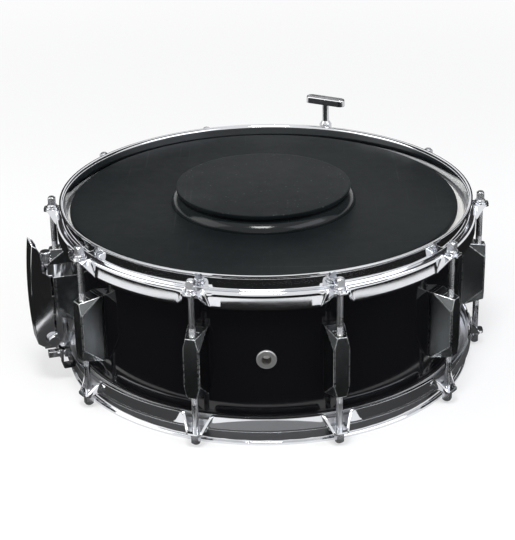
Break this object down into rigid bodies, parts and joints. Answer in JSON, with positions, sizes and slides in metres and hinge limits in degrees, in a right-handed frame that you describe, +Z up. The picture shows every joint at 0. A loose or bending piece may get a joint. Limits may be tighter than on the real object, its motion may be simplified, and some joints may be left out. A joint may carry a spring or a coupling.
{
  "type": "snare drum",
  "caption": "Shallow snare drum with flanged hoops, double-ended lugs, lever strainer, snare wires, a rubber practice pad and a drum key.",
  "frame": {"origin": "centre of the lower rim's plane, on which the drum rests", "axes": "+Z up along the drum's axis; -Y is the side with the vent, +X to the right seen from there"},
  "size_m": [0.412, 0.387, 0.1821],
  "materials": {
    "shell_lacquer": "black lacquered ply, bare maple inside",
    "chrome": "polished chrome plate",
    "rod_chrome": "chromed steel rod",
    "key_chrome": "dark polished chrome",
    "lug_black": "smoked chrome die casting",
    "coated_film": "white coated film",
    "clear_film": "thin clear film",
    "flesh_hoop": "extruded channel",
    "nut": "plated swivel nut",
    "screw": "zinc-plated steel",
    "snare_wire": "coiled steel wire",
    "end_plate": "pressed brass",
    "strap": "black film strap",
    "pad_rubber": "satin black rubber"
  },
  "bodies": {
    "drum": {"shell": "shell_lacquer", "vent_grommet": "chrome", "batter_hoop": "chrome", "snare_hoop": "chrome", "batter_head": "coated_film", "snare_head": "clear_film", "batter_flesh_hoop": "flesh_hoop", "snare_flesh_hoop": "flesh_hoop", "swivel_nuts": "nut", "mounting_screws": "screw", "batter_washers": "chrome", "snare_washers": "chrome", "strainer_frame": "chrome", "lever_pin": "chrome", "butt_body": "chrome", "butt_clamp_plate": "chrome", "butt_clamp_screws": "chrome", "butt_strap": "strap", "throw_strap": "strap", "lug_1": "lug_black", "lug_2": "lug_black", "lug_3": "lug_black", "lug_4": "lug_black", "lug_5": "lug_black", "lug_6": "lug_black", "lug_7": "lug_black", "lug_8": "lug_black", "lug_9": "lug_black", "lug_10": "lug_black"},
    "lever": {"strainer_lever": "chrome"},
    "lift": {"lift_block": "screw"},
    "carriage": {"strap_carriage": "chrome", "throw_clamp_plate": "chrome", "throw_clamp_screws": "chrome"},
    "knob": {"tension_knob": "chrome"},
    "snares": {"snare_wires": "snare_wire", "snare_end_plates": "end_plate"},
    "pad": {"practice_pad": "pad_rubber", "pad_disc": "pad_rubber"},
    "key": {"drum_key": "key_chrome"},
    "batter_rod_1": {"batter_rod_1": "rod_chrome"},
    "batter_rod_2": {"batter_rod_2": "rod_chrome"},
    "batter_rod_3": {"batter_rod_3": "rod_chrome"},
    "batter_rod_4": {"batter_rod_4": "rod_chrome"},
    "batter_rod_5": {"batter_rod_5": "rod_chrome"},
    "batter_rod_6": {"batter_rod_6": "rod_chrome"},
    "batter_rod_7": {"batter_rod_7": "rod_chrome"},
    "batter_rod_8": {"batter_rod_8": "rod_chrome"},
    "batter_rod_9": {"batter_rod_9": "rod_chrome"},
    "batter_rod_10": {"batter_rod_10": "rod_chrome"},
    "snare_rod_1": {"snare_rod_1": "rod_chrome"},
    "snare_rod_2": {"snare_rod_2": "rod_chrome"},
    "snare_rod_3": {"snare_rod_3": "rod_chrome"},
    "snare_rod_4": {"snare_rod_4": "rod_chrome"},
    "snare_rod_5": {"snare_rod_5": "rod_chrome"},
    "snare_rod_6": {"snare_rod_6": "rod_chrome"},
    "snare_rod_7": {"snare_rod_7": "rod_chrome"},
    "snare_rod_8": {"snare_rod_8": "rod_chrome"},
    "snare_rod_9": {"snare_rod_9": "rod_chrome"},
    "snare_rod_10": {"snare_rod_10": "rod_chrome"}
  },
  "joints": [
    {"name": "batter_rod_1_turn", "type": "hinge", "parent": "drum", "child": "batter_rod_1", "pos_m": [0.05949, -0.18308, 0.1414], "axis": [0, 0, 1], "continuous": true},
    {"name": "batter_rod_2_turn", "type": "hinge", "parent": "drum", "child": "batter_rod_2", "pos_m": [0.15574, -0.11315, 0.1414], "axis": [0, 0, 1], "continuous": true},
    {"name": "batter_rod_3_turn", "type": "hinge", "parent": "drum", "child": "batter_rod_3", "pos_m": [0.1925, 0, 0.1414], "axis": [0, 0, 1], "continuous": true},
    {"name": "batter_rod_4_turn", "type": "hinge", "parent": "drum", "child": "batter_rod_4", "pos_m": [0.15574, 0.11315, 0.1414], "axis": [0, 0, 1], "continuous": true},
    {"name": "batter_rod_5_turn", "type": "hinge", "parent": "drum", "child": "batter_rod_5", "pos_m": [0.05949, 0.18308, 0.1414], "axis": [0, 0, 1], "continuous": true},
    {"name": "batter_rod_6_turn", "type": "hinge", "parent": "drum", "child": "batter_rod_6", "pos_m": [-0.05949, 0.18308, 0.1414], "axis": [0, 0, 1], "continuous": true},
    {"name": "batter_rod_7_turn", "type": "hinge", "parent": "drum", "child": "batter_rod_7", "pos_m": [-0.15574, 0.11315, 0.1414], "axis": [0, 0, 1], "continuous": true},
    {"name": "batter_rod_8_turn", "type": "hinge", "parent": "drum", "child": "batter_rod_8", "pos_m": [-0.1925, 0, 0.1414], "axis": [0, 0, 1], "continuous": true},
    {"name": "batter_rod_9_turn", "type": "hinge", "parent": "drum", "child": "batter_rod_9", "pos_m": [-0.15574, -0.11315, 0.1414], "axis": [0, 0, 1], "continuous": true},
    {"name": "batter_rod_10_turn", "type": "hinge", "parent": "drum", "child": "batter_rod_10", "pos_m": [-0.05949, -0.18308, 0.1414], "axis": [0, 0, 1], "continuous": true},
    {"name": "snare_rod_1_turn", "type": "hinge", "parent": "drum", "child": "snare_rod_1", "pos_m": [0.05949, -0.18308, 0.013], "axis": [0, 0, 1], "continuous": true},
    {"name": "snare_rod_2_turn", "type": "hinge", "parent": "drum", "child": "snare_rod_2", "pos_m": [0.15574, -0.11315, 0.013], "axis": [0, 0, 1], "continuous": true},
    {"name": "snare_rod_3_turn", "type": "hinge", "parent": "drum", "child": "snare_rod_3", "pos_m": [0.1925, 0, 0.013], "axis": [0, 0, 1], "continuous": true},
    {"name": "snare_rod_4_turn", "type": "hinge", "parent": "drum", "child": "snare_rod_4", "pos_m": [0.15574, 0.11315, 0.013], "axis": [0, 0, 1], "continuous": true},
    {"name": "snare_rod_5_turn", "type": "hinge", "parent": "drum", "child": "snare_rod_5", "pos_m": [0.05949, 0.18308, 0.013], "axis": [0, 0, 1], "continuous": true},
    {"name": "snare_rod_6_turn", "type": "hinge", "parent": "drum", "child": "snare_rod_6", "pos_m": [-0.05949, 0.18308, 0.013], "axis": [0, 0, 1], "continuous": true},
    {"name": "snare_rod_7_turn", "type": "hinge", "parent": "drum", "child": "snare_rod_7", "pos_m": [-0.15574, 0.11315, 0.013], "axis": [0, 0, 1], "continuous": true},
    {"name": "snare_rod_8_turn", "type": "hinge", "parent": "drum", "child": "snare_rod_8", "pos_m": [-0.1925, 0, 0.013], "axis": [0, 0, 1], "continuous": true},
    {"name": "snare_rod_9_turn", "type": "hinge", "parent": "drum", "child": "snare_rod_9", "pos_m": [-0.15574, -0.11315, 0.013], "axis": [0, 0, 1], "continuous": true},
    {"name": "snare_rod_10_turn", "type": "hinge", "parent": "drum", "child": "snare_rod_10", "pos_m": [-0.05949, -0.18308, 0.013], "axis": [0, 0, 1], "continuous": true},
    {"name": "lever_throw", "type": "hinge", "parent": "drum", "child": "lever", "pos_m": [-0.19211, -0.06242, 0.045], "axis": [0.309, -0.9511, 0], "range_deg": [0, 70]},
    {"name": "lift_slide", "type": "slide", "parent": "drum", "child": "lift", "axis": [0, 0, 1], "range_m": [-0.00701, 0], "deforming": ["throw_strap"]},
    {"name": "knob_turn", "type": "hinge", "parent": "lift", "child": "knob", "pos_m": [-0.19211, -0.06242, 0.11], "axis": [0, 0, 1], "range_deg": [-724, 724]},
    {"name": "carriage_tune", "type": "slide", "parent": "lift", "child": "carriage", "axis": [0, 0, 1], "range_m": [-0.0016, 0.0016]},
    {"name": "snares_drop", "type": "slide", "parent": "drum", "child": "snares", "axis": [0, 0, 1], "range_m": [-0.00151, 0]},
    {"name": "pad_lift", "type": "slide", "parent": "drum", "child": "pad", "axis": [0, 0, 1], "range_m": [0, 0.15]},
    {"name": "key_lift", "type": "slide", "parent": "batter_rod_5", "child": "key", "axis": [0, 0, 1], "range_m": [0, 0.05]}
  ],
  "couplings": [
    {"joint": "lift_slide", "follows": "lever_throw", "m_per_rad": -0.0057296},
    {"joint": "snares_drop", "follows": "lever_throw", "m_per_rad": -0.0012278},
    {"joint": "knob_turn", "follows": "carriage_tune", "rad_per_m": 7854}
  ]
}
